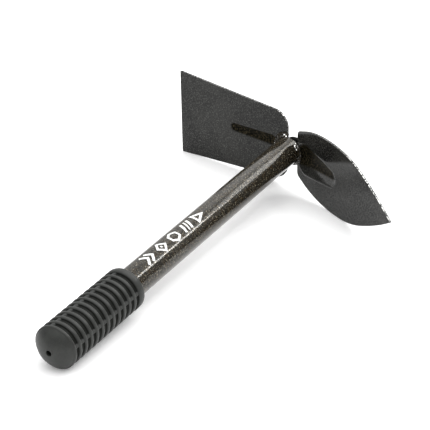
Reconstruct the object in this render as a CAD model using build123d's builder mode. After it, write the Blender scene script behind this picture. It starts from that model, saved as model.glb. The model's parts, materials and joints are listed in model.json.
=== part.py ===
from build123d import *
import os
from math import cos, radians, sin

# A short two-headed hand hoe: a straight steel tube with a ribbed rubber grip at one end, and a square
# blade and a pointed blade welded on opposite sides of the other end.
#
# Lengths are in millimetres and angles in degrees. The hoe's own axes, used for every dimension below:
# +X runs up the handle from the foot of the grip's dome to the head, +Y points to the square blade, and
# +Z runs across the width of both blades. "Front" is the side of a blade that faces the grip.

# Handle tube, cut square at the head
TUBE_R = 12.7
TUBE_WALL = 1.2
TUBE_FOOT = 4.0
TUBE_END = 361.5

# Rubber grip
GRIP_R = 17.9
GRIP_LENGTH = 92.4
DOME_HEIGHT = 9.0
DOME_EDGE_ROUND = 0.8
COLLAR_ROUND = 1.5
VENT_R = 2.25
RIB_COUNT = 11
RIB_PITCH = 7.24
RIB_WIDTH = 3.0
GROOVES_START = 1.3
GROOVE_DEPTH = 2.0
RIB_ROUND = 0.9
WEB_COUNT = 4
WEB_WIDTH = 2.6
WEB_DROP = 0.7
WEB_ROUND = 0.6
WEB_TURN = 14.0

# Blades: sheet thickness and the small rounding of the sheared edges
SHEET = 2.0
SHEET_ROUND = 0.5

# Square blade. A positive lean tips the blade's outer edge away from the grip.
SQUARE_HEAD = 366.0
SQUARE_LEAN = 9.4
SQUARE_INNER = 2.7
SQUARE_REACH = 129.7
SQUARE_INNER_HALF = 33.4
SQUARE_OUTER_HALF = 42.3
SQUARE_SHOULDER_R = 16.0
SQUARE_CORNER_R = 1.0

# Pointed blade, leaning towards the grip. BELLY is where it is widest.
POINTED_HEAD = 366.6
POINTED_LEAN = -31.8
POINTED_INNER = 11.8
POINTED_REACH = 160.4
POINTED_NECK_HALF = 21.8
POINTED_BELLY = 68.0
POINTED_BELLY_HALF = 33.8
POINTED_SHOULDER_R = 5.0
POINTED_TIP_R = 1.2

# Pressed channels: a tapered bar with ball ends, pressed into the front of each blade. The bar's axis
# stands in front of the sheet by its height, so the bar only bites in by its radius less that height.
# The square blade's bar sits a little above the blade's middle line, by its shift.
SQUARE_CHANNEL_HEIGHT = 4.8
SQUARE_CHANNEL_SHIFT = 2.6
SQUARE_CHANNEL = {"near": 21.0, "near_r": 7.1, "far": 64.6, "far_r": 6.4}
POINTED_CHANNEL_HEIGHT = 20.0
POINTED_CHANNEL = {"near": 27.5, "near_r": 24.6, "far": 67.2, "far_r": 21.6}

# Weld beads from the tube's end to each blade, bent round the tube, and the upright bead between the blades
BEAD_R = 4.4
BEAD_SIDE = 14.0
BEAD_TIP_OUT = 1.0
BEAD_TIP_UP = 8.5
NECK_BEAD_Y = -4.0
NECK_BEAD = {"near": -10.5, "near_r": 6.0, "far": 7.0, "far_r": 6.0}

# Where the pointed blade's low side touches the ground
POINTED_FOOT = 77.5
POINTED_FOOT_HALF = 33.6

# Middle of the hoe's outer box, along the handle and across it
MIDDLE_X = 189.83
MIDDLE_Y = -4.08

DOME_R = (GRIP_R**2 + DOME_HEIGHT**2) / (2 * DOME_HEIGHT)
GROOVE_COUNT = RIB_COUNT + 1
GROOVE_WIDTH = RIB_PITCH - RIB_WIDTH
GROOVES_LENGTH = RIB_COUNT * RIB_PITCH + GROOVE_WIDTH
POINTED_SIDE = [
    (POINTED_INNER, POINTED_NECK_HALF),
    (32, 29.2),
    (POINTED_BELLY, POINTED_BELLY_HALF),
    (104, 29.2),
    (128, 18.9),
    (POINTED_REACH, 0),
]

SQUARE = 1
POINTED = -1


def outward(side, lean):
    """Direction along a blade, from the handle's axis to its far edge, in the hoe's own axes."""
    return Vector(sin(radians(lean)), side * cos(radians(lean)), 0)


def on_blade(head, side, lean, reach, half):
    """Point on a blade's front face, in the hoe's own axes."""
    return Vector(head, 0, half) + outward(side, lean) * reach


def resting_frame():
    """The hoe's own axes as a plane in the model's frame, where the hoe lies on Z = 0.

    It rests on three points: the grip's edge, the low outer corner of the square blade and the low
    side of the pointed blade.
    """
    grip_foot = Vector(0, 0, -GRIP_R)
    corner_foot = on_blade(SQUARE_HEAD, SQUARE, SQUARE_LEAN, SQUARE_REACH, -SQUARE_OUTER_HALF)
    belly_foot = on_blade(POINTED_HEAD, POINTED, POINTED_LEAN, POINTED_FOOT, -POINTED_FOOT_HALF)
    up = (belly_foot - grip_foot).cross(corner_foot - grip_foot).normalized()
    along = (Vector(1, 0, 0) - up * up.X).normalized()
    floor = Plane(origin=grip_foot, x_dir=along, z_dir=up)
    shift = Vector(MIDDLE_X, MIDDLE_Y, 0)
    origin = floor.to_local_coords(Vector(0, 0, 0)) - shift
    x_axis = floor.to_local_coords(Vector(1, 0, 0)) - shift - origin
    z_axis = floor.to_local_coords(Vector(0, 0, 1)) - shift - origin
    return Plane(origin=origin, x_dir=x_axis, z_dir=z_axis)


hoe = resting_frame()
handle_axis = Axis(hoe.origin, hoe.x_dir)


def station(x):
    """Plane square to the handle at x, with local axes along the hoe's +Y and +Z."""
    return Plane(origin=hoe.from_local_coords((x, 0, 0)), x_dir=hoe.y_dir, z_dir=hoe.x_dir)


def blade_front(head, side, lean):
    """Plane of a blade's front face: local +X runs outward and the normal points away from the grip."""
    out = outward(side, lean)
    away = Vector(cos(radians(lean)), -side * sin(radians(lean)), 0)
    origin = hoe.from_local_coords(Vector(head, 0, 0))
    out_point = hoe.from_local_coords(Vector(head, 0, 0) + out)
    away_point = hoe.from_local_coords(Vector(head, 0, 0) + away)
    return Plane(origin=origin, x_dir=out_point - origin, z_dir=away_point - origin)


square_front = blade_front(SQUARE_HEAD, SQUARE, SQUARE_LEAN)
pointed_front = blade_front(POINTED_HEAD, POINTED, POINTED_LEAN)


def ball_ended_bar(plane, bar, swell=0, mode=Mode.ADD):
    """Tapered bar with ball ends along the plane's local X, swell thicker all round, added or cut by mode."""
    with BuildSketch(plane) as half_bar:
        with Locations((bar["near"], 0)):
            Circle(bar["near_r"] + swell)
        with Locations((bar["far"], 0)):
            Circle(bar["far_r"] + swell)
        make_hull()
        split(bisect_by=Plane.XZ)
    revolve(half_bar.sketch, axis=Axis(plane.origin, plane.x_dir), mode=mode)


def press_channel(front, height, channel, shift=0):
    """Press a channel into the blade being built: the sheet bulges behind and is hollow in front."""
    bar_plane = Plane(front.location * Pos(0, shift, -height))
    ball_ended_bar(bar_plane, channel, swell=SHEET)
    split(bisect_by=front, keep=Keep.TOP)
    ball_ended_bar(bar_plane, channel, mode=Mode.SUBTRACT)


def tube_bead(front, *laid_before):
    """Weld bead bent round the tube's end, on the front face of one blade."""
    with BuildPart() as bead:
        with BuildLine(front) as path:
            ThreePointArc((BEAD_TIP_OUT, BEAD_TIP_UP), (BEAD_SIDE, 0), (BEAD_TIP_OUT, -BEAD_TIP_UP))
        with BuildSketch(Plane(origin=path.line @ 0, z_dir=path.line % 0)):
            Circle(BEAD_R)
        sweep(path=path.line)
        with Locations(path.line @ 0, path.line @ 1):
            Sphere(BEAD_R)
        split(bisect_by=front, keep=Keep.BOTTOM)
        cut_tube_away()
        for neighbour in laid_before:
            add(neighbour.part, mode=Mode.SUBTRACT)
    return bead


def cut_tube_away():
    """Cut the tube's outer shape from the weld being built."""
    with BuildSketch(station(TUBE_FOOT)) as tube_section:
        Circle(TUBE_R)
    extrude(tube_section.sketch, amount=TUBE_END - TUBE_FOOT, mode=Mode.SUBTRACT)


with BuildPart() as handle_tube:
    with BuildSketch(station(TUBE_FOOT)):
        Circle(TUBE_R)
        Circle(TUBE_R - TUBE_WALL, mode=Mode.SUBTRACT)
    extrude(amount=TUBE_END - TUBE_FOOT)
    split(bisect_by=pointed_front, keep=Keep.BOTTOM)


with BuildPart() as rubber_grip:
    # Domed, ribbed outside and plain bore, turned about the handle's axis.
    with BuildSketch(hoe) as grip_half:
        with BuildLine():
            RadiusArc((-DOME_HEIGHT, 0), (0, GRIP_R), DOME_R)
            Polyline((0, GRIP_R), (GRIP_LENGTH, GRIP_R), (GRIP_LENGTH, TUBE_R), (TUBE_FOOT, TUBE_R))
            Polyline((TUBE_FOOT, TUBE_R), (TUBE_FOOT, 0), (-DOME_HEIGHT, 0))
        make_face()
        rim = grip_half.vertices().group_by(Axis.Y)[-1].sort_by(Axis.X)
        fillet(rim[0], DOME_EDGE_ROUND)
        fillet(rim[-1], COLLAR_ROUND)
        first_groove = GROOVES_START + GROOVE_WIDTH / 2
        with Locations(*[(first_groove + RIB_PITCH * i, GRIP_R) for i in range(GROOVE_COUNT)]):
            Rectangle(GROOVE_WIDTH, 2 * GROOVE_DEPTH, mode=Mode.SUBTRACT)
        crowns = grip_half.vertices().filter_by_position(Axis.Y, GRIP_R - 0.1, GRIP_R + 0.1)
        fillet(crowns.sort_by(Axis.X)[2:-1], RIB_ROUND)
    revolve(axis=handle_axis)
    # Lengthwise webs across the grooves, a little lower than the ribs.
    with BuildSketch(station(GROOVES_START)):
        with PolarLocations(0, WEB_COUNT, start_angle=90 - WEB_TURN):
            with Locations((GRIP_R - WEB_DROP - GROOVE_DEPTH, 0)):
                RectangleRounded(2 * GROOVE_DEPTH, WEB_WIDTH, WEB_ROUND)
    extrude(amount=GROOVES_LENGTH)
    with BuildSketch(station(-DOME_HEIGHT)):
        Circle(VENT_R)
    extrude(amount=DOME_HEIGHT + TUBE_FOOT, mode=Mode.SUBTRACT)


with BuildPart() as square_blade:
    with BuildSketch(square_front) as plate:
        with BuildLine():
            Polyline(
                (SQUARE_INNER, SQUARE_INNER_HALF),
                (SQUARE_REACH, SQUARE_OUTER_HALF),
                (SQUARE_REACH, -SQUARE_OUTER_HALF),
                (SQUARE_INNER, -SQUARE_INNER_HALF),
                close=True,
            )
        make_face()
        fillet(plate.vertices().group_by(Axis.X)[0], SQUARE_SHOULDER_R)
        fillet(plate.vertices().group_by(Axis.X)[-1], SQUARE_CORNER_R)
    extrude(amount=SHEET)
    fillet(square_blade.faces().filter_by(square_front).edges(), SHEET_ROUND)
    press_channel(square_front, SQUARE_CHANNEL_HEIGHT, SQUARE_CHANNEL, SQUARE_CHANNEL_SHIFT)


with BuildPart() as pointed_blade:
    with BuildSketch(pointed_front) as leaf:
        with BuildLine():
            Line((POINTED_INNER, -POINTED_NECK_HALF), (POINTED_INNER, POINTED_NECK_HALF))
            for half in (1, -1):
                Spline(*[(reach, half * width) for reach, width in POINTED_SIDE])
        make_face()
        fillet(leaf.vertices().group_by(Axis.X)[0], POINTED_SHOULDER_R)
        fillet(leaf.vertices().sort_by(Axis.X)[-1], POINTED_TIP_R)
    extrude(amount=SHEET)
    fillet(pointed_blade.faces().filter_by(pointed_front).edges(), SHEET_ROUND)
    press_channel(pointed_front, POINTED_CHANNEL_HEIGHT, POINTED_CHANNEL)


square_blade_weld = tube_bead(square_front)
pointed_blade_weld = tube_bead(pointed_front, square_blade, square_blade_weld)


with BuildPart() as neck_weld:
    # Fills the gap between the blades and closes the end of the tube.
    neck_middle = hoe.from_local_coords((SQUARE_HEAD, NECK_BEAD_Y, 0))
    ball_ended_bar(Plane(origin=neck_middle, x_dir=hoe.z_dir, z_dir=hoe.x_dir), NECK_BEAD)
    cut_tube_away()
    for neighbour in (square_blade, pointed_blade, square_blade_weld, pointed_blade_weld):
        add(neighbour.part, mode=Mode.SUBTRACT)


def export(piece, name):
    """Write one finished piece under its own name."""
    piece.part.label = name
    export_step(piece.part, f"parts/{name}.step")


os.makedirs("parts", exist_ok=True)
export(handle_tube, "handle_tube")
export(rubber_grip, "rubber_grip")
export(square_blade, "square_blade")
export(pointed_blade, "pointed_blade")
export(square_blade_weld, "square_blade_weld")
export(pointed_blade_weld, "pointed_blade_weld")
export(neck_weld, "neck_weld")
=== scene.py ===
import json
import math

import bmesh
import bpy
import numpy as np
from mathutils import Matrix, Vector, noise


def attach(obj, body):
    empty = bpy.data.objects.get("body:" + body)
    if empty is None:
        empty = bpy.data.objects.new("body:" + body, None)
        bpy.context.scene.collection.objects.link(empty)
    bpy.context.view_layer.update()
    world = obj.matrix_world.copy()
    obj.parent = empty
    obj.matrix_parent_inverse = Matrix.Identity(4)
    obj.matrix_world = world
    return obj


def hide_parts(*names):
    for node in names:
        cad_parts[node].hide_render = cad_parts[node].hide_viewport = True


# The short two-headed hand hoe, dressed for the camera. Everything is in the row frame, in metres. Shapes are
# written in the hoe's own axes, in millimetres: +X up the handle from the foot of the grip's dome, +Y towards
# the square blade, +Z across the width of both blades.

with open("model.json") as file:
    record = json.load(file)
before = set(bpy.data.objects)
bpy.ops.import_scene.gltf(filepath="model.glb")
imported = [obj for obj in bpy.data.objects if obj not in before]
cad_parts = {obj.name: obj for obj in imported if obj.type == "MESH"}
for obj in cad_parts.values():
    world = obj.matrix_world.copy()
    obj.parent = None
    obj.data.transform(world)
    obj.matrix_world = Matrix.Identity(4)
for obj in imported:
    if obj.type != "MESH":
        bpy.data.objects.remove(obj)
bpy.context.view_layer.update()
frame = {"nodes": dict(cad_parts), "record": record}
scene = bpy.context.scene
scene.view_settings.view_transform = "Standard"
scene.view_settings.look = "None"
MM = 0.001

# ---------------------------------------------------------------- the hoe's own axes

CLIP_X = 230.0  # where the record's tube clip mount is, along the handle
ROLL = math.radians(1.594)  # the hoe leans this far about its handle as it lies

mounts = {m["name"]: m for m in frame["record"]["mounts"]}
axis_x = Vector(mounts["tube_clip"]["axis"]).normalized()
level_y = Vector((0, 0, 1)).cross(axis_x).normalized()
axis_y = level_y * math.cos(ROLL) + axis_x.cross(level_y) * math.sin(ROLL)
axis_z = axis_x.cross(axis_y)
origin = Vector(mounts["tube_clip"]["pos_m"]) - axis_x * CLIP_X * MM
turned = Matrix((axis_x, axis_y, axis_z)).transposed().to_4x4()
hoe = Matrix.Translation(origin) @ turned @ Matrix.Scale(MM, 4)

# ---------------------------------------------------------------- camera

CAMERA_AT = Vector((-0.930402, -0.564905, 0.563302))
CAMERA_LOOKS = Vector((0.778527, 0.456715, -0.430473))
CAMERA_UP = Vector((0.378255, 0.205877, 0.902517))
LENS = 124.33

camera = bpy.data.objects.new("camera", bpy.data.cameras.new("camera"))
scene.collection.objects.link(camera)
side = CAMERA_LOOKS.cross(CAMERA_UP).normalized()
turn = Matrix((side, side.cross(CAMERA_LOOKS), -CAMERA_LOOKS)).transposed()
camera.matrix_world = Matrix.Translation(CAMERA_AT) @ turn.to_4x4()
camera.data.lens = LENS
camera.data.sensor_width = 36
camera.data.clip_start = 0.05
camera.data.clip_end = 50
scene.camera = camera

# ---------------------------------------------------------------- light


def area_light(name, direction, distance, size, power, aim=(0, 0, 0.03)):
    """Square soft box seen from the hoe in one direction."""
    light = bpy.data.objects.new(name, bpy.data.lights.new(name, "AREA"))
    light.data.shape = "SQUARE"
    light.data.size = size
    light.data.energy = power
    place = Vector(aim) + Vector(direction).normalized() * distance
    facing = (Vector(aim) - place).to_track_quat("-Z", "Y")
    light.matrix_world = Matrix.Translation(place) @ facing.to_matrix().to_4x4()
    scene.collection.objects.link(light)


# Direction from the hoe, distance, size and power. The last three are small lights on the tube's far end
# and on the pointed blade's rim.
TUBE_FAR_END = (0.098, 0.004, 0.033)
POINTED_RIM = (0.10, -0.08, 0.02)
area_light("glint_light", (0.689, -0.456, 0.564), 2.2, 0.22, 5)
area_light("top_light", (0.12, -0.25, 1.0), 1.8, 2.4, 22)
area_light("head_light", (0.78, 0.21, 0.59), 0.8, 0.40, 0.42, aim=TUBE_FAR_END)
area_light("crown_light", (0.76, -0.28, 0.60), 0.5, 0.15, 0.34, aim=TUBE_FAR_END)
area_light("rim_light", (0.36, -0.33, 0.87), 1.6, 0.16, 2.4, aim=POINTED_RIM)

# The world is brighter overhead, with a wide glow behind the head like a lit studio wall. Each range is
# (from low, from high, to low, to high), and turns a part of the direction into brightness.
SKY_RANGE = (0.02, 0.95, 0.22, 1.45)
GLOW_WAY = (0.76, 0.50, 0.42)
GLOW_RANGE = (0.80, 0.97, 0.0, 0.5)

world = bpy.data.worlds.new("studio")
scene.world = world
world.use_nodes = True
sky = world.node_tree


def brightness(value, limits):
    """World node that maps a value from one range to another."""
    made = sky.nodes.new("ShaderNodeMapRange")
    for socket, limit in zip(("From Min", "From Max", "To Min", "To Max"), limits):
        made.inputs[socket].default_value = limit
    sky.links.new(value, made.inputs["Value"])
    return made.outputs["Result"]


way = sky.nodes.new("ShaderNodeTexCoord").outputs["Generated"]
split = sky.nodes.new("ShaderNodeSeparateXYZ")
wall = sky.nodes.new("ShaderNodeVectorMath")
wall.operation = "DOT_PRODUCT"
wall.inputs[1].default_value = GLOW_WAY
total = sky.nodes.new("ShaderNodeMath")
total.operation = "ADD"
sky.links.new(way, split.inputs["Vector"])
sky.links.new(way, wall.inputs[0])
sky.links.new(brightness(split.outputs["Z"], SKY_RANGE), total.inputs[0])
sky.links.new(brightness(wall.outputs["Value"], GLOW_RANGE), total.inputs[1])
sky.nodes["Background"].inputs["Color"].default_value = (1, 1, 1, 1)
sky.links.new(total.outputs["Value"], sky.nodes["Background"].inputs["Strength"])

# ---------------------------------------------------------------- materials

NOISE_TURN = (0.4, 0.7, 0.2)  # keeps the grid of the noise off the flat blades


class Graph:
    """Small helper that builds one node material."""

    def __init__(self, name):
        self.material = bpy.data.materials.new(name)
        self.material.use_nodes = True
        self.tree = self.material.node_tree
        self.shader = self.tree.nodes["Principled BSDF"]
        place = self.tree.nodes.new("ShaderNodeTexCoord")
        scale = self.tree.nodes.new("ShaderNodeMapping")
        scale.inputs["Scale"].default_value = (1 / MM,) * 3
        scale.inputs["Rotation"].default_value = NOISE_TURN
        self.tree.links.new(place.outputs["Object"], scale.inputs["Vector"])
        self.mm = scale.outputs["Vector"]

    def node(self, kind, inputs=None, **settings):
        made = self.tree.nodes.new("ShaderNode" + kind)
        for key, value in settings.items():
            setattr(made, key, value)
        for key, value in (inputs or {}).items():
            self.feed(made.inputs[key], value)
        return made

    def feed(self, socket, value):
        """Link a node's output to the socket, or set a constant on it."""
        if isinstance(value, bpy.types.NodeSocket):
            self.tree.links.new(value, socket)
        else:
            socket.default_value = value

    def set(self, **inputs):
        """Feed the material's shader. An input's spaces are written as underscores."""
        for key, value in inputs.items():
            self.feed(self.shader.inputs[key.replace("_", " ")], value)

    def noise(self, size, detail=2.0, rough=0.5, distortion=0.0):
        """Noise whose features are about size millimetres across."""
        made = self.node("TexNoise", {"Vector": self.mm, "Scale": 1 / size})
        made.inputs["Detail"].default_value = detail
        made.inputs["Roughness"].default_value = rough
        made.inputs["Distortion"].default_value = distortion
        return made.outputs["Fac"]

    def cells(self, size):
        """Distance to the nearest of points strewn about size millimetres apart."""
        return self.node("TexVoronoi", {"Vector": self.mm, "Scale": 1 / size}).outputs["Distance"]

    def shade(self, name):
        """Per-point value that a piece's mesh carries."""
        return self.node("Attribute", attribute_name=name).outputs["Fac"]

    def ramp(self, value, *stops):
        """Colour by value. Each stop is (position, colour)."""
        made = self.node("ValToRGB", {"Fac": value})
        while len(made.color_ramp.elements) < len(stops):
            made.color_ramp.elements.new(0.5)
        for element, (position, colour) in zip(made.color_ramp.elements, stops):
            element.position = position
            element.color = (*colour, 1)
        return made.outputs["Color"]

    def math(self, operation, a, b=0.0):
        made = self.node("Math", operation=operation)
        self.feed(made.inputs[0], a)
        self.feed(made.inputs[1], b)
        return made.outputs["Value"]

    def fit(self, value, low, high, to_low, to_high):
        """Value moved from the range low to high into the range to_low to to_high, and held there."""
        limits = {"From Min": low, "From Max": high, "To Min": to_low, "To Max": to_high}
        return self.node("MapRange", {"Value": value, **limits}).outputs["Result"]

    def mix(self, factor, a, b):
        """Colour a where the factor is 0 and colour b where it is 1."""
        made = self.node("Mix", data_type="RGBA")
        self.feed(made.inputs["Factor"], factor)
        self.feed(made.inputs["A"], (*a, 1) if isinstance(a, tuple) else a)
        self.feed(made.inputs["B"], (*b, 1) if isinstance(b, tuple) else b)
        return made.outputs["Result"]

    def bump(self, *layers):
        """Stack of bumps, each (height, depth in millimetres, strength)."""
        normal = None
        for height, depth, strength in layers:
            made = self.node("Bump", {"Height": height, "Distance": depth * MM, "Strength": strength})
            if normal is not None:
                self.feed(made.inputs["Normal"], normal)
            normal = made.outputs["Normal"]
        self.set(Normal=normal)


def hammered_paint():
    """Dark metallic paint, dried in fine drops and streaks, with bright flecks."""
    g = Graph("hammered_paint")
    fine = g.noise(0.7, 3.0, 0.65)
    grain = g.noise(1.3, 2.0, 0.5)
    run = g.noise(3.2, 3.0, 0.6, distortion=1.2)
    body = g.ramp(fine, (0.34, (0.004, 0.0035, 0.002)), (0.68, (0.036, 0.033, 0.026)))
    rusty = g.mix(g.fit(run, 0.50, 0.66, 0.0, 0.7), body, (0.045, 0.028, 0.011))
    fleck = g.fit(g.math("MULTIPLY", grain, g.math("SUBTRACT", 1.0, g.cells(1.1))), 0.34, 0.46, 0.0, 0.7)
    g.set(Base_Color=g.mix(fleck, rusty, (0.30, 0.27, 0.20)))
    g.set(Metallic=0.25, Specular_IOR_Level=g.fit(grain, 0.35, 0.65, 0.22, 0.46))
    g.set(Roughness=g.fit(fine, 0.3, 0.7, 0.05, 0.15))
    g.bump((run, 0.18, 0.25), (grain, 0.12, 0.45), (fine, 0.05, 0.35))
    return g.material


def blade_paint():
    """Dark glossy paint with a fine grain, painted shade mottled dark brown and dull in the pressed channels
    and under the tube's shadow, and bare-metal wear on the rims that also stands in as a painted highlight.
    """
    g = Graph("blade_paint")
    fine = g.noise(1.1, 3.0, 0.6)
    cloud = g.noise(38.0, 2.0, 0.5)
    painted_shade = g.shade("painted_shade")
    wear = g.shade("wear")
    body = g.ramp(cloud, (0.38, (0.009, 0.009, 0.0085)), (0.66, (0.020, 0.020, 0.0185)))
    speckled = g.mix(g.fit(fine, 0.50, 0.72, 0.0, 0.8), body, (0.070, 0.070, 0.063))
    # painted shade: in the channels and under the tube's shadow the paint turns to a dark brown mottle with
    # little gloss
    blotch = g.ramp(g.noise(1.6, 3.0, 0.65), (0.46, (0.003, 0.003, 0.002)), (0.68, (0.052, 0.043, 0.026)))
    # bare metal on the rims is partly wear and partly a painted highlight, brightest where the rims catch the
    # light
    bare = g.math("MULTIPLY", wear, g.fit(g.noise(1.6, 2.0, 0.6), 0.46, 0.54, 0.0, 1.0))
    g.set(Base_Color=g.mix(bare, g.mix(painted_shade, speckled, blotch), (0.70, 0.70, 0.68)))
    open_gloss = g.math("SUBTRACT", 1.0, g.math("MULTIPLY", painted_shade, 0.93))
    gloss = g.math("MULTIPLY", g.fit(fine, 0.35, 0.65, 0.10, 0.30), open_gloss)
    g.set(Specular_IOR_Level=gloss, Metallic=bare)
    dulling = g.math("MULTIPLY", g.math("ADD", painted_shade, bare), 0.25)
    g.set(Roughness=g.math("ADD", g.fit(fine, 0.3, 0.7, 0.05, 0.13), dulling))
    g.bump((g.noise(9.0, 2.0), 0.06, 0.20), (fine, 0.05, 0.35))
    return g.material


def weld_paint():
    """Thick dark paint over a rippled weld, with sparks of bare metal and painted shade where it is hidden.
    """
    g = Graph("weld_paint")
    fine = g.noise(1.2, 3.0, 0.6)
    spark = g.fit(g.noise(1.7, 2.0, 0.5), 0.66, 0.72, 0.0, 1.0)
    coat = g.ramp(fine, (0.40, (0.003, 0.003, 0.002)), (0.72, (0.040, 0.031, 0.016)))
    # painted shade: the neck's paint goes blacker and less glossy towards the tube, between the blades
    painted_weld_shade = g.shade("painted_weld_shade")
    sparks = g.math("MULTIPLY", spark, g.math("SUBTRACT", 1.0, painted_weld_shade))
    bare = g.math("MAXIMUM", sparks, g.shade("bare"))
    coat = g.mix(painted_weld_shade, coat, (0.002, 0.002, 0.0015))
    g.set(Base_Color=g.mix(bare, coat, (0.80, 0.79, 0.76)), Metallic=bare)
    g.set(Roughness=g.fit(fine, 0.3, 0.7, 0.10, 0.24), Specular_IOR_Level=g.fit(painted_weld_shade, 0.0, 1.0, 0.16, 0.03))
    g.bump((g.noise(2.2, 2.0), 0.5, 0.8), (fine, 0.12, 0.6))
    return g.material


def grip_rubber():
    """Black rubber, worn lighter on the crowns, with painted shade in the grooves."""
    g = Graph("grip_rubber")
    fine = g.noise(0.5, 2.0, 0.5)
    cloud = g.noise(9.0, 3.0, 0.6)
    painted_shade = g.shade("painted_shade")
    worn = g.ramp(cloud, (0.35, (0.0110, 0.0120, 0.0105)), (0.70, (0.0215, 0.0235, 0.0205)))
    dusty = g.mix(g.fit(fine, 0.58, 0.75, 0.0, 0.5), worn, (0.060, 0.060, 0.054))
    # painted shade: the grooves get a flat darker colour and less gloss
    g.set(Base_Color=g.mix(painted_shade, dusty, (0.0098, 0.0105, 0.0090)))
    open_gloss = g.math("SUBTRACT", 1.0, g.math("MULTIPLY", painted_shade, 0.7))
    g.set(Specular_IOR_Level=g.math("MULTIPLY", open_gloss, 0.42))
    g.set(Roughness=g.fit(fine, 0.3, 0.7, 0.40, 0.58))
    g.bump((cloud, 0.10, 0.3), (fine, 0.04, 0.5))
    return g.material


def print_ink():
    """Thin white ink, greyer where it has rubbed off."""
    g = Graph("print_ink")
    wear = g.noise(0.6, 3.0, 0.6)
    g.set(Base_Color=g.ramp(wear, (0.28, (0.35, 0.35, 0.34)), (0.40, (0.86, 0.86, 0.85))))
    g.set(Roughness=0.5)
    g.bump((wear, 0.05, 0.3))
    return g.material


def floor_white():
    """Pale paper sweep, lit a little from within so that its far parts go to white."""
    g = Graph("floor_white")
    grain = g.noise(60.0, 3.0, 0.5)
    g.set(Base_Color=g.ramp(grain, (0.3, (0.935,) * 3), (0.7, (0.95,) * 3)), Roughness=0.8)
    g.set(Emission_Color=(1, 1, 1, 1), Emission_Strength=0.13)
    return g.material


finish = {
    "hammered_paint": hammered_paint(),
    "blade_paint": blade_paint(),
    "weld_paint": weld_paint(),
    "grip_rubber": grip_rubber(),
    "print_ink": print_ink(),
}


# ---------------------------------------------------------------- mesh helpers

TUBE_R = 12.7


def grid_faces(rows, columns, start=0, close_rows=False, close_columns=False):
    """Quads of a grid of points numbered row by row."""
    faces = []
    for i in range(rows if close_rows else rows - 1):
        for j in range(columns if close_columns else columns - 1):
            a, b = i * columns + j, i * columns + (j + 1) % columns
            c, d = (i + 1) % rows * columns + (j + 1) % columns, (i + 1) % rows * columns + j
            faces.append((start + a, start + b, start + c, start + d))
    return faces


def lumps(point, size, seed):
    """Smooth noise from -1 to 1 whose features are about size millimetres across."""
    return noise.noise(Vector(point) / size + Vector((seed * 17.3, seed * 5.1, seed * 9.7)))


def soft_max(a, b, blend):
    """The larger of two values, with the change from one to the other rounded off."""
    return 0.5 * (a + b + math.sqrt((a - b) ** 2 + blend * blend))


def orient(data):
    """Turn every face of a closed mesh to look outward."""
    shell = bmesh.new()
    shell.from_mesh(data)
    bmesh.ops.recalc_face_normals(shell, faces=shell.faces)
    shell.to_mesh(data)
    shell.free()


def mesh_object(name, points, faces, slot_name, stands_for=(), shades=None):
    """Mesh from points in the hoe's axes, riding on the root. Shades are named values, one per point."""
    data = bpy.data.meshes.new(name)
    data.from_pydata([hoe @ Vector(p) for p in points], [], faces)
    for shade, values in (shades or {}).items():
        data.attributes.new(shade, "FLOAT", "POINT").data.foreach_set("value", values)
    orient(data)
    data.polygons.foreach_set("use_smooth", [True] * len(data.polygons))
    data.materials.append(finish[slot_name])
    data.update()
    made = bpy.data.objects.new(name, data)
    scene.collection.objects.link(made)
    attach(made, "root")
    if stands_for:
        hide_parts(*stands_for)


# ---------------------------------------------------------------- blades

SHEET = 2.0
EDGE_ROUND = 0.5
RIM_ANGLES = (30, 60, 90)  # where the rounding of the rim has its rows of points
CELL = 0.7  # spacing of the blades' points
PRESS_BLEND = 0.5  # rounding where a channel meets the flat sheet
BLEND_LIFT = 0.025  # what that rounding adds on the flat sheet
LIP_HEIGHT = 0.5  # raised lip along a channel
LIP_OUT = 0.9  # how far the lip's crest is outside the channel's edge
LIP_HALF = 0.6
SHADE_DEPTH = 0.5  # a channel carries its full painted shade from this depth on
SHADE_FADE = 1.5  # width over which the painted shade fades in
SHADE_MIDDLE = 40.0  # reach at which a channel's shade_from is given
WAVINESS = 0.03
WAVE_LENGTH = 30
LEAST_HALF = 0.05  # rows of points narrower than this are left out
FEWEST_COLUMNS = 24


def rounded(corners, radii, step=0.5):
    """Half outline through corners, each inner corner rounded off, as evenly spaced points."""
    path = [corners[0]]
    for before, here, after, radius in zip(corners, corners[1:], corners[2:], radii):
        here = Vector(here)
        back, on = (Vector(before) - here).normalized(), (Vector(after) - here).normalized()
        half = back.angle(on) / 2
        centre = here + (back + on).normalized() * radius / math.sin(half)
        first = here + back * radius / math.tan(half) - centre
        last = here + on * radius / math.tan(half) - centre
        turn_by = first.angle_signed(last)
        count = max(4, int(abs(turn_by) * radius / step))
        for i in range(count + 1):
            a = -turn_by * i / count
            x = centre.x + first.x * math.cos(a) - first.y * math.sin(a)
            y = centre.y + first.x * math.sin(a) + first.y * math.cos(a)
            path.append((x, y))
    path.append(corners[-1])
    return path


def resample(path, step):
    """Path with points step apart, its ends kept."""
    path = np.array(path, float)
    along = np.concatenate([[0], np.cumsum(np.linalg.norm(np.diff(path, axis=0), axis=1))])
    count = max(2, int(round(along[-1] / step)))
    at = np.linspace(0, along[-1], count + 1)
    return np.stack([np.interp(at, along, path[:, k]) for k in (0, 1)], 1)


def inset(path, depth):
    """Half outline moved inwards. It starts and ends on the blade's middle line."""
    run = np.gradient(path, axis=0)
    run /= np.linalg.norm(run, axis=1)[:, None]
    moved = path + np.stack([run[:, 1], -run[:, 0]], 1) * depth
    moved[:, 1] = np.maximum(moved[:, 1], 0)
    return moved


def bar_at(channel, reach, across):
    """Radius of the bar that presses the channel, and how far one place of the blade is from its axis."""
    run = channel["far"] - channel["near"]
    share = min(max((reach - channel["near"]) / run, 0), 1)
    radius = channel["near_r"] + (channel["far_r"] - channel["near_r"]) * share
    return radius, math.hypot(reach - channel["near"] - run * share, across - channel["middle"])


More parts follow.
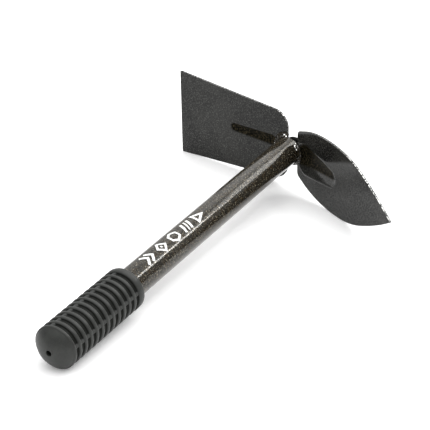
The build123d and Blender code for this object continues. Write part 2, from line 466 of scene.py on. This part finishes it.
def press_depth(channel, reach, across, swell):
    """How far behind the front plane the pressed channel's surface lies at one place of the blade."""
    radius, off = bar_at(channel, reach, across)
    radius += swell
    return math.sqrt(max(radius * radius - off * off, 0)) - channel["height"]


def channel_edge(channel, reach, across):
    """Distance from one place of the blade to the edge of its pressed channel, positive outside."""
    radius, off = bar_at(channel, reach, across)
    return off - math.sqrt(radius * radius - channel["height"] ** 2)


def blade(name, node, head, side, lean, half_outline, channel, worn, seed):
    """Pressed sheet blade with rounded edges, laid out like its CAD node. Out runs along the blade from the
    tube, away runs from its front face to its back, and worn gives how bare the rim is at each place, which
    is partly wear and partly a painted highlight."""
    lean = math.radians(lean)
    out = Vector((math.sin(lean), side * math.cos(lean), 0))
    away = Vector((math.cos(lean), -side * math.sin(lean), 0))
    outline = resample(half_outline, CELL)
    inner = inset(outline, EDGE_ROUND)
    rising = np.concatenate([[True], np.diff(np.maximum.accumulate(inner[:, 0])) > 1e-4])
    stations = inner[rising]
    stations = stations[stations[:, 1] > LEAST_HALF]
    columns = max(FEWEST_COLUMNS, int(2 * stations[:, 1].max() / CELL) // 2 * 2)
    spread = np.linspace(1, -1, columns + 1)

    flat = [(reach, half * v) for reach, half in stations for v in spread]
    rows, wide = len(stations), columns + 1
    top = [i * wide for i in range(rows)]
    end = [(rows - 1) * wide + j for j in range(1, wide)]
    bottom = [i * wide + wide - 1 for i in range(rows - 2, -1, -1)]
    start = list(range(wide - 2, 0, -1))
    rim = top + end + bottom + start
    rim_points = np.array([flat[k] for k in rim])
    run = np.roll(rim_points, -1, axis=0) - np.roll(rim_points, 1, axis=0)
    run /= np.linalg.norm(run, axis=1)[:, None]
    outer = np.stack([-run[:, 1], run[:, 0]], 1)

    points, painted_shade, wear = [], [], []

    def place(reach, across, depth, shaded=0.0, bare=0.0):
        wave = WAVINESS * lumps((reach, across, 0), WAVE_LENGTH, seed)
        points.append(Vector((head, 0, across)) + out * reach + away * (depth + wave))
        painted_shade.append(shaded)
        wear.append(bare)

    for reach, across in flat:
        depth = press_depth(channel, reach, across, 0)
        from_lip = channel_edge(channel, reach, across) - LIP_OUT
        lip = LIP_HEIGHT * math.exp(-((from_lip / LIP_HALF) ** 2)) * channel["lip"](reach, across)
        # painted shade: the channel, and on the pointed blade only the part under the tube's shadow, is
        # darkened and dulled
        shade_line = channel["shade_from"] + channel["shade_slope"] * (reach - SHADE_MIDDLE)
        shaded = min(max(depth / SHADE_DEPTH, 0), 1) * min(max((across - shade_line) / SHADE_FADE, 0), 1)
        place(reach, across, soft_max(depth, 0, PRESS_BLEND) - BLEND_LIFT - lip, shaded)
    for reach, across in flat:
        depth = press_depth(channel, reach, across, SHEET) - SHEET
        place(reach, across, SHEET + soft_max(depth, 0, PRESS_BLEND) - BLEND_LIFT)
    faces = grid_faces(rows, wide) + grid_faces(rows, wide, start=len(flat))
    profile = []
    for a in map(math.radians, RIM_ANGLES):
        profile.append((math.sin(a) * EDGE_ROUND, (1 - math.cos(a)) * EDGE_ROUND))
    profile += [(proud, SHEET - depth) for proud, depth in reversed(profile)]
    first = len(points)
    for proud, depth in profile:
        for (reach, across), (nx, ny) in zip(rim_points, outer):
            # rim points get bare metal, partly wear and partly a painted highlight
            bare = worn(reach, across) if depth < EDGE_ROUND else 0.0
            place(reach + nx * proud, across + ny * proud, depth, bare=bare)
    loops = [rim] + [[first + k * len(rim) + i for i in range(len(rim))] for k in range(len(profile))]
    loops.append([k + len(flat) for k in rim])
    for one, two in zip(loops, loops[1:]):
        for i in range(len(rim)):
            j = (i + 1) % len(rim)
            faces.append((one[i], one[j], two[j], two[i]))
    mesh_object(name, points, faces, "blade_paint", (node,), {"painted_shade": painted_shade, "wear": wear})


def through(knots, count):
    """Smooth curve through knots, by cubic Hermite spans with chord-length tangents."""
    knots = np.array(knots, float)
    gaps = np.linalg.norm(np.diff(knots, axis=0), axis=1)
    at = np.concatenate([[0], np.cumsum(gaps)])
    slope = np.zeros_like(knots)
    before, after = gaps[:-1, None], gaps[1:, None]
    onward, backward = (knots[2:] - knots[1:-1]) / after, (knots[1:-1] - knots[:-2]) / before
    slope[1:-1] = (onward * before + backward * after) / (after + before)
    slope[0] = 2 * (knots[1] - knots[0]) / gaps[0] - slope[1]
    slope[-1] = 2 * (knots[-1] - knots[-2]) / gaps[-1] - slope[-2]
    made = []
    for u in np.linspace(0, at[-1], count):
        k = min(np.searchsorted(at, u, side="right") - 1, len(gaps) - 1)
        t = (u - at[k]) / gaps[k]
        made.append(
            (2 * t**3 - 3 * t**2 + 1) * knots[k] + (t**3 - 2 * t**2 + t) * gaps[k] * slope[k]
            + (3 * t**2 - 2 * t**3) * knots[k + 1] + (t**3 - t**2) * gaps[k] * slope[k + 1]
        )
    return [tuple(point) for point in made]


SQUARE_HEAD, SQUARE, SQUARE_LEAN = 366.0, 1, 9.4
POINTED_HEAD, POINTED, POINTED_LEAN = 366.6, -1, -31.8

# Half outlines, as (reach from the tube's axis, half width)
SQUARE_HALF = rounded([(2.7, 0), (2.7, 33.4), (129.7, 42.3), (129.7, 0)], (16.0, 1.0))
LEAF_KNOTS = [(11.8, 21.8), (32, 29.2), (68, 33.8), (104, 29.2), (128, 18.9), (160.2, 0)]
LEAF_SIDE = through(LEAF_KNOTS, 90)
SHOULDER_END = 8  # the point of the side at which the rounded shoulder hands over
LEAF_SHOULDER = rounded([(11.8, 0), (11.8, 21.8), LEAF_SIDE[SHOULDER_END]], (5.0,))
LEAF_HALF = LEAF_SHOULDER[:-1] + LEAF_SIDE[SHOULDER_END:]

# Pressed channels: the pressing bar's ends and radii, its height above the sheet and its middle line,
# the line above which the channel carries painted shade (on the pointed blade this follows the edge of the
# tube's shadow), and where it has a raised lip
SQUARE_CHANNEL = {
    "near": 21.0, "near_r": 7.1, "far": 64.6, "far_r": 6.4, "height": 4.8, "middle": 2.6,
    "shade_from": -20.0, "shade_slope": 0.0,
    "lip": lambda reach, across: 1.0 if reach < 21 else 0.0,
}
POINTED_CHANNEL = {
    "near": 27.5, "near_r": 24.6, "far": 67.2, "far_r": 21.6, "height": 20.0, "middle": 0.0,
    "shade_from": -6.7, "shade_slope": 0.164,
    "lip": lambda reach, across: min(max(-(across + 3) / 4, 0), 1) if reach < 72 else 0.0,
}


def square_wear_and_highlight(reach, across):
    """Bare metal on the square blade's rim, most on the shoulder next to the head, where it is a painted
    highlight.
    """
    return 1.0 if reach < 16 and across > 22 else 0.35


def pointed_wear_and_highlight(reach, across):
    """Bare metal on the pointed blade's rim, most on the upper side towards the tip, where it is a painted
    highlight.
    """
    return 1.0 if reach > 90 and across > 0 else 0.35


blade(
    "square_blade_pressed", "square_blade", SQUARE_HEAD, SQUARE, SQUARE_LEAN,
    SQUARE_HALF, SQUARE_CHANNEL, square_wear_and_highlight, seed=1,
)
blade(
    "pointed_blade_pressed", "pointed_blade", POINTED_HEAD, POINTED, POINTED_LEAN,
    LEAF_HALF, POINTED_CHANNEL, pointed_wear_and_highlight, seed=2,
)

# ---------------------------------------------------------------- welds

RIPPLE = 2.3
RIPPLE_HEIGHT = 0.4
RIPPLE_SHAPE = 0.7  # power that gives each ripple a steep and a slow side
RIPPLE_BEND = 1.1  # how far a ripple runs ahead in the middle of the bead
WELD_LUMPS = 0.45
WELD_WANDER = 0.12
WELD_CROWN = 0.35  # how far the bead bulges past a flat fillet, as a share of its depth
WELD_FADE = 0.35  # power with which the bead's ends taper
WELD_SINK = 0.8  # how far its hidden side lies inside the corner
NECK_X, NECK_Y = 365.6, -4.0
NECK_HALF_X, NECK_HALF_Y = 4.6, 7.2
NECK_LOW, NECK_HIGH = -15.5, 12.5
NECK_RIPPLE = 2.6
PAINTED_SHADE_FADE = 2.0  # the neck's painted shade is black towards the tube, and half as strong this far past its middle


def fillet_weld(name, node, head, side, lean, low, high, legs, seed):
    """Rippled weld in the corner between the tube and a blade, from angle low to high round the tube.
    Legs are its widths on the tube and on the blade."""
    lean = math.radians(lean)
    rows, columns, hidden = 120, 14, 4
    points = []
    for i in range(rows):
        share = i / (rows - 1)
        turn_by = math.radians(low + (high - low) * share)
        fade = math.sin(math.pi * min(max(share, 0.02), 0.98)) ** WELD_FADE
        wander = 1 + WELD_WANDER * lumps((share * 12, 0, 0), 1.6, seed)
        leg_tube, leg_blade = (leg * fade * wander for leg in legs)

        def at(radius, back):
            y = radius * math.cos(turn_by)
            return Vector((head + y * math.tan(lean) - back, side * y, radius * math.sin(turn_by)))

        corner, on_tube, on_blade = at(TUBE_R, 0), at(TUBE_R, leg_tube), at(TUBE_R + leg_blade, 0)
        middle = (on_tube + on_blade) / 2
        crown = middle + (middle - corner) * WELD_CROWN
        outward = (middle - corner).normalized()
        for j in range(columns):
            t = j / (columns - 1)
            point = on_tube * (1 - t) ** 2 + crown * 2 * t * (1 - t) + on_blade * t * t
            bend = RIPPLE_BEND * (1 - (2 * t - 1) ** 2)
            phase = (math.radians(high - low) * share * (TUBE_R + 2) + bend) / RIPPLE
            saw = (phase % 1.0) ** RIPPLE_SHAPE
            lump = WELD_LUMPS * lumps(point, 1.9, seed + 3)
            rise = (RIPPLE_HEIGHT * saw + lump) * math.sin(math.pi * t) ** 0.5
            points.append(point + outward * rise * fade)
        for j in range(1, hidden):
            t = j / hidden
            points.append(on_blade.lerp(corner, t) + (corner - middle).normalized() * WELD_SINK)
    wide = columns + hidden - 1
    faces = grid_faces(rows, wide, close_columns=True)
    faces += [tuple(range(wide)), tuple((rows - 1) * wide + j for j in reversed(range(wide)))]
    mesh_object(name, points, faces, "weld_paint", (node,))


def neck(name, node):
    """Upright bead that fills the gap between the blades and closes the tube's end. Its sides stay nearly
    straight and its ends are domed."""
    rows, columns = 70, 40
    points = []
    for i in range(rows):
        share = i / (rows - 1)
        dome = math.sqrt(max(1 - abs(2 * share - 1) ** 5, 0.0))
        z = NECK_LOW + (NECK_HIGH - NECK_LOW) * share
        for j in range(columns):
            a = 2 * math.pi * j / columns
            phase = (z - 1.3 * math.cos(a)) / NECK_RIPPLE
            lump = lumps((math.cos(a) * 4, math.sin(a) * 4, z), 2.6, 7)
            swell = 1 + 0.05 * (phase % 1.0) ** RIPPLE_SHAPE + 0.07 * lump
            x = NECK_X + NECK_HALF_X * dome * swell * math.cos(a)
            y = NECK_Y + NECK_HALF_Y * dome * swell * math.sin(a)
            points.append((x, y, z))
    points += [(NECK_X, NECK_Y, NECK_LOW - 0.2), (NECK_X, NECK_Y, NECK_HIGH + 0.2)]
    faces = grid_faces(rows, columns, close_columns=True)
    last = (rows - 1) * columns
    for j in range(columns):
        faces.append((rows * columns, (j + 1) % columns, j))
        faces.append((rows * columns + 1, last + j, last + (j + 1) % columns))
    # painted shade on the neck, full towards the tube and half as much on its far side
    painted_weld_shade = [0.5 + 0.5 * min(max((NECK_X + PAINTED_SHADE_FADE - x) / (2 * PAINTED_SHADE_FADE), 0), 1) for x, y, z in points]
    mesh_object(name, points, faces, "weld_paint", (node,), {"painted_weld_shade": painted_weld_shade})


fillet_weld(
    "square_blade_weld_bead", "square_blade_weld", SQUARE_HEAD, SQUARE, SQUARE_LEAN,
    low=-78, high=84, legs=(6.5, 5.2), seed=11,
)
fillet_weld(
    "pointed_blade_weld_bead", "pointed_blade_weld", POINTED_HEAD, POINTED, POINTED_LEAN,
    low=-64, high=40, legs=(2.6, 3.6), seed=12,
)
neck("neck_weld_bead", "neck_weld")

# Flattened drops of bare weld metal. Each is (place, half width, half thickness), in the hoe's axes. They
# face up and towards the pointed blade's side.
SPATTER_UP = Vector((-0.06, -0.653, 0.755)).normalized()
SPATTER = [
    ((364.2, 4.6, 13.3), 1.4, 0.8),
    ((362.4, 2.3, 13.0), 0.9, 0.6),
    ((357.0, -10.2, 8.0), 1.8, 0.8),
    ((356.6, -11.7, 5.4), 1.2, 0.7),
    ((359.4, -9.0, 9.4), 0.9, 0.6),
]


def weld_spatter(name):
    """All the drops as one piece."""
    points, faces = [], []
    across = SPATTER_UP.cross(Vector((1, 0, 0))).normalized()
    along = across.cross(SPATTER_UP)
    rings, around = 10, 20
    for k, (place, wide, thick) in enumerate(SPATTER):
        start = len(points)
        for i in range(1, rings):
            a = math.pi * i / rings
            for j in range(around):
                b = 2 * math.pi * j / around
                swell = 1 + 0.12 * lumps((math.cos(b) * 2, math.sin(b) * 2, i), 1.5, 40 + k)
                flat = (along * math.cos(b) + across * math.sin(b)) * math.sin(a) * wide * swell
                points.append(Vector(place) + flat + SPATTER_UP * math.cos(a) * thick)
        top, bottom = len(points), len(points) + 1
        points += [Vector(place) + SPATTER_UP * thick, Vector(place) - SPATTER_UP * thick]
        faces += grid_faces(rings - 1, around, start=start, close_columns=True)
        last = start + (rings - 2) * around
        for j in range(around):
            faces.append((top, start + (j + 1) % around, start + j))
            faces.append((bottom, last + j, last + (j + 1) % around))
    mesh_object(name, points, faces, "weld_paint", shades={"bare": [1.0] * len(points)})


weld_spatter("weld_spatter")

# ---------------------------------------------------------------- rubber grip

GRIP_R = 17.9
GRIP_END = 92.4
DOME_HEIGHT = 9.0
DOME_R = (GRIP_R**2 + DOME_HEIGHT**2) / (2 * DOME_HEIGHT)
VENT_R = 2.25
BORE_FOOT = 4.0
RIB_PITCH = 7.24
FIRST_GROOVE = 1.3
GROOVE_WIDTH = 4.24
GROOVES = 12
GROOVES_END = FIRST_GROOVE + GROOVES * RIB_PITCH - (RIB_PITCH - GROOVE_WIDTH)
GROOVE_DEPTH = 2.0
GROOVE_WALL = 0.35  # width over which a groove's side drops to its floor
CROWN_ROUND = 0.9
CROWN_DROP = 0.45  # how far a rib's crown is rounded down where a groove's side starts
CROWN_END = 0.12
WEB_DROP = 0.7  # depth of the four webs' tops below the ribs
WEB_HALF = 1.3
WEB_TURN = 14.0
WEB_SLOPE = 2.4
WEB_BLEND = 0.18
HOLLOW_FROM = 0.5  # the rubber takes its painted groove shade from this depth on
HOLLOW_FADE = 0.8
COLLAR = 3.0
VENT_LIP = 0.35
COLLAR_ROUND = 1.5
RUBBER_LUMPS = 0.03
GRIP_AROUND = 180  # points round each ring

# Places of the rings from the start of each groove, down its side, over its floor and up the other side
IN_GROOVE = (0.0, 0.12, 0.24, 0.36, 0.8, 1.5, 2.12, 2.74, 3.44, 3.88, 4.0, 4.12, 4.24)
ON_CROWN = (0.08, 0.2, 0.4, 0.65, 0.9, 1.5, 2.1, 2.35, 2.6, 2.8, 2.92)


def grip_radius(x, turn_by):
    """Outer radius of the ribbed part of the grip, slightly uneven like moulded rubber."""
    into = (x - FIRST_GROOVE) % RIB_PITCH
    ribbed = FIRST_GROOVE <= x <= GROOVES_END
    depth = 0.0
    if ribbed and into < GROOVE_WIDTH:
        wall = min(into, GROOVE_WIDTH - into)
        depth = max(GROOVE_DEPTH * min(wall / GROOVE_WALL, 1.0), CROWN_DROP)
    elif ribbed:
        crown = min(into - GROOVE_WIDTH, RIB_PITCH - into)
        if crown < CROWN_ROUND:
            depth = CROWN_ROUND - math.sqrt(CROWN_ROUND**2 - (CROWN_ROUND - crown) ** 2)
            depth = min(depth, CROWN_DROP) if crown < CROWN_END else depth
    turned = (math.degrees(turn_by) - WEB_TURN + 45) % 90 - 45
    off = abs(math.radians(turned)) * GRIP_R
    web = WEB_DROP + max(off - WEB_HALF, 0) * WEB_SLOPE
    if depth > WEB_DROP:
        depth = -soft_max(-depth, -web, WEB_BLEND)
    uneven = RUBBER_LUMPS * lumps((x, 9 * math.sin(turn_by), 9 * math.cos(turn_by)), 6, 5)
    return GRIP_R - depth + uneven


def grip(name, node):
    """Moulded rubber grip: domed end with its vent hole, ribs joined by webs, plain collar and bore."""
    points, painted_shade, rows = [], [], 0

    def ring(x, radius):
        """Ring of points round the handle's axis. The radius is a number or a function of the angle."""
        nonlocal rows
        rows += 1
        for j in range(GRIP_AROUND):
            a = 2 * math.pi * j / GRIP_AROUND
            r = radius(a) if callable(radius) else radius
            points.append((x, r * math.sin(a), r * math.cos(a)))
            # painted shade in the grooves, by depth below the ribs' crowns
            in_grooves = 0 < x < GRIP_END - COLLAR
            depth = GRIP_R - r - HOLLOW_FROM
            painted_shade.append(min(max(depth / HOLLOW_FADE, 0), 1) if in_grooves else 0.0)

    for x in (BORE_FOOT, 1.0, -3.0, -7.0):
        ring(x, VENT_R)
    lip_x = -DOME_HEIGHT + (VENT_R + VENT_LIP) ** 2 / (2 * DOME_R)
    for turn_by in (0, 30, 60, 90):
        a = math.radians(turn_by)
        ring(lip_x + VENT_LIP * (1 - math.sin(a)), VENT_R + VENT_LIP * (1 - math.cos(a)))
    dome_from, dome_to, dome_rows = VENT_R + VENT_LIP, GRIP_R - 0.8, 24
    for k in range(1, dome_rows + 1):
        r = dome_from + (dome_to - dome_from) * k / dome_rows
        ring(-DOME_HEIGHT + DOME_R - math.sqrt(DOME_R**2 - r * r), r)
    rim_x = -DOME_HEIGHT + DOME_R - math.sqrt(DOME_R**2 - dome_to**2)
    for turn_by in (25, 50, 75):
        a = math.radians(turn_by)
        ring(rim_x + (0.35 - rim_x) * (1 - math.cos(a)), dome_to + (GRIP_R - dome_to) * math.sin(a))
    stations = [0.45, FIRST_GROOVE - 0.12]
    for k in range(GROOVES):
        start = FIRST_GROOVE + k * RIB_PITCH
        stations += [start + d for d in IN_GROOVE]
        if k < GROOVES - 1:
            stations += [start + GROOVE_WIDTH + d for d in ON_CROWN]
    stations.append(GROOVES_END + 0.15)
    for x in stations:
        ring(x, lambda a, x=x: grip_radius(x, a))
    ring((GROOVES_END + GRIP_END - COLLAR_ROUND) / 2 + 1, GRIP_R)
    for turn_by in range(0, 91, 15):
        a = math.radians(turn_by)
        x = GRIP_END - COLLAR_ROUND + COLLAR_ROUND * math.sin(a)
        ring(x, GRIP_R - COLLAR_ROUND + COLLAR_ROUND * math.cos(a))
    for r in (GRIP_R - 2.4, TUBE_R + 0.9, TUBE_R + 0.35):
        ring(GRIP_END, r)
    ring(GRIP_END - 0.1, TUBE_R + 0.08)
    for x in (GRIP_END - 0.35, 60.0, BORE_FOOT):
        ring(x, TUBE_R)
    faces = grid_faces(rows, GRIP_AROUND, close_rows=True, close_columns=True)
    mesh_object(name, points, faces, "grip_rubber", (node,), {"painted_shade": painted_shade})


grip("moulded_grip", "rubber_grip")

# ---------------------------------------------------------------- printed marks

INK_FROM = 0.015  # the ink film's inner and outer faces, above the tube's surface
INK_TO = 0.06
INK_STEP = 0.6
INK_FRAY = 0.09
SHARPEST_MITRE = 0.35
MARK_PITCH = 19.0
MARK_START = 122.3
MARK_TURN = math.radians(-11.5)  # the marks' middle line, round the tube from straight up
MARK_SIZE = (6.4, 5.9)

# Plain geometric marks on a square from -1 to 1, x up the handle. Each is a list of ribbons, and a ribbon
# is (points, width in millimetres, closed).
DOUBLE_CHEVRON = [
    ([(-0.95, 0.9), (-0.15, 0), (-0.95, -0.9)], 2.4, False),
    ([(0.05, 0.9), (0.85, 0), (0.05, -0.9)], 2.4, False),
]
DIAMOND = [
    ([(-0.85, 0), (0, 0.85), (0.85, 0), (0, -0.85)], 2.0, True),
    ([(-0.16, 0), (0.16, 0)], 1.9, False),
]
HEXAGON = [([(-0.8, 0.42), (0, 0.86), (0.8, 0.42), (0.8, -0.42), (0, -0.86), (-0.8, -0.42)], 2.0, True)]
THREE_BARS = [
    ([(-0.95, -0.8), (-0.35, 0.8)], 2.4, False),
    ([(-0.2, -0.8), (0.4, 0.8)], 1.5, False),
    ([(0.45, -0.8), (1.05, 0.8)], 2.4, False),
]
TRIANGLE = [([(-0.8, -0.75), (0.75, 0.0), (-0.8, 0.75)], 2.1, True)]
MARKS = [DOUBLE_CHEVRON, DIAMOND, HEXAGON, THREE_BARS, TRIANGLE]


def ribbon(path, width, closed):
    """Left and right edges of a mitred ribbon, in millimetres, with points along its runs."""
    path = [Vector((x * MARK_SIZE[0], y * MARK_SIZE[1])) for x, y in path]
    count = len(path)
    edges = []
    for k in range(count):
        before = path[k - 1] if closed or k else None
        after = path[(k + 1) % count] if closed or k < count - 1 else None
        runs = [(path[k] - before).normalized()] if before is not None else []
        runs += [(after - path[k]).normalized()] if after is not None else []
        normals = [Vector((-r.y, r.x)) for r in runs]
        mitre = sum(normals, Vector((0, 0))).normalized()
        reach = width / 2 / max(mitre.dot(normals[0]), SHARPEST_MITRE)
        edges.append((path[k] + mitre * reach, path[k] - mitre * reach))
    fine = []
    for k in range(count if closed else count - 1):
        one, two = edges[k], edges[(k + 1) % count]
        steps = max(2, int((two[0] - one[0]).length / INK_STEP))
        fine += [(one[0].lerp(two[0], i / steps), one[1].lerp(two[1], i / steps)) for i in range(steps)]
    return fine if closed else fine + [edges[-1]]


def ink_mark(name, middle, ribbons):
    """One printed mark, as a thin film on the tube."""
    points, faces = [], []
    across = 6
    for path, width, closed in ribbons:
        start, cut = len(points), ribbon(path, width, closed)
        for left, right in cut:
            for lift in (INK_TO, INK_FROM):
                for j in range(across):
                    spot = left.lerp(right, j / (across - 1))
                    frayed = INK_FRAY * lumps((spot.x + middle, spot.y, 0), 0.8, 31)
                    a = MARK_TURN + (spot.y + frayed) / TUBE_R
                    r = TUBE_R + lift
                    points.append((middle + spot.x + frayed, r * math.sin(a), r * math.cos(a)))
        wide = 2 * across
        order = list(range(across)) + list(range(2 * across - 1, across - 1, -1))
        rows = len(cut)
        for i in range(rows if closed else rows - 1):
            here, ahead = start + i * wide, start + (i + 1) % rows * wide
            for one, two in zip(order, order[1:] + order[:1]):
                faces.append((here + one, here + two, ahead + two, ahead + one))
        if not closed:
            faces.append(tuple(start + k for k in order))
            faces.append(tuple(start + (rows - 1) * wide + k for k in reversed(order)))
    mesh_object(name, points, faces, "print_ink")


for k, ribbons in enumerate(MARKS):
    ink_mark(f"print_mark_{k + 1}", MARK_START + k * MARK_PITCH, ribbons)

# ---------------------------------------------------------------- floor

FLOOR_HALF = 6.0
floor_corners = [(x * FLOOR_HALF, y * FLOOR_HALF, 0) for x, y in ((-1, -1), (1, -1), (1, 1), (-1, 1))]
floor_data = bpy.data.meshes.new("floor")
floor_data.from_pydata(floor_corners, [], [(0, 1, 2, 3)])
floor_data.materials.append(floor_white())
floor = bpy.data.objects.new("floor", floor_data)
scene.collection.objects.link(floor)

for subpart in frame["record"]["subparts"]:
    node = frame["nodes"][subpart["node"]]
    node.data.materials.clear()
    node.data.materials.append(finish[subpart["material_slot"]])
